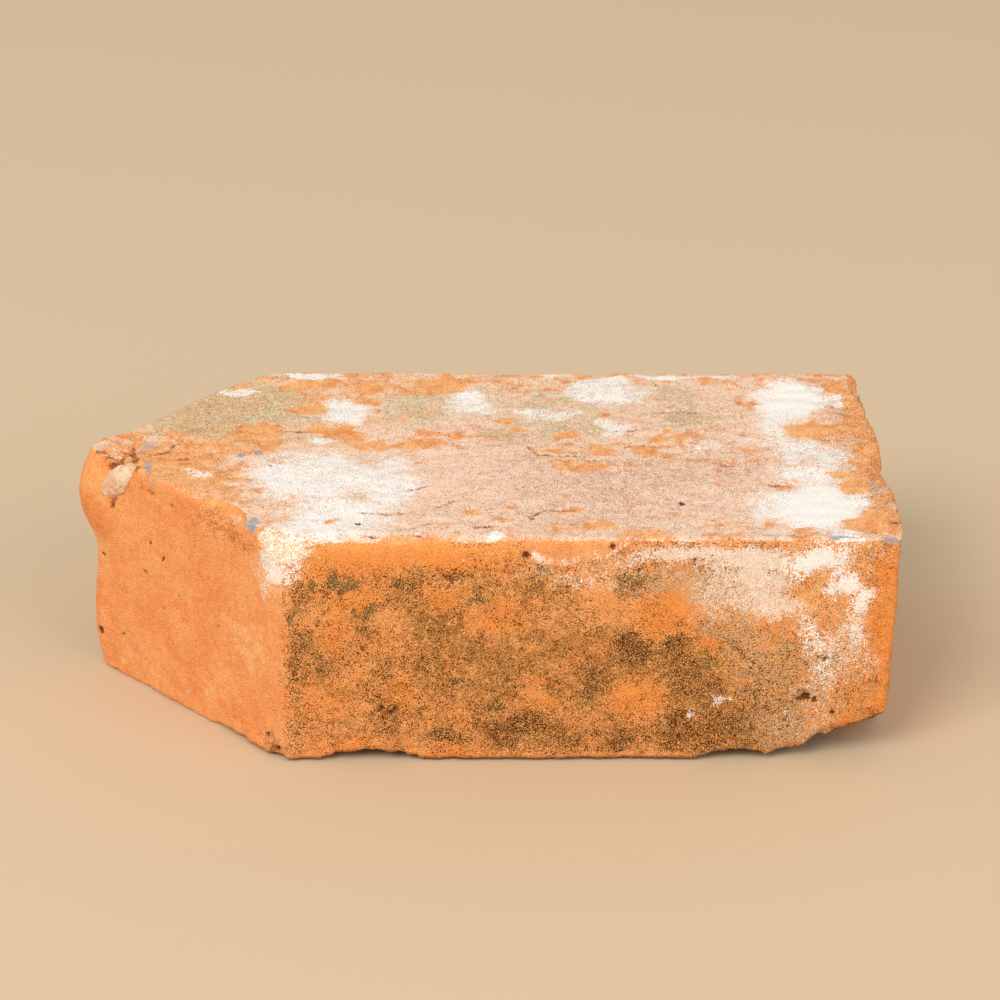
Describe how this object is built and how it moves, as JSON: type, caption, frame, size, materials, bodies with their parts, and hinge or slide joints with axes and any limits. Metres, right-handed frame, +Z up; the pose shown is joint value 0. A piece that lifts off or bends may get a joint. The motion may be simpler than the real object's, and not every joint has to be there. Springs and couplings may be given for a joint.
{
  "type": "clay brick",
  "caption": "Solid hand-moulded clay brick lying on its bed, with a canted end that comes to a rounded point, worn arrises, broken corners and a pebble fired into one face.",
  "frame": {"origin": "under the middle of the overall length and width, at the level of the lower bed that the brick lies on", "axes": "+X runs along the length from the pointed end to the square end, +Y points from the weathered stretcher face to the back one, +Z is up out of the upper bed"},
  "size_m": [0.232, 0.11, 0.071],
  "materials": {
    "fired_clay": "matt orange fired clay with lime bloom, lichen and soot"
  },
  "bodies": {
    "root": {"brick": "fired_clay"}
  },
  "joints": []
}
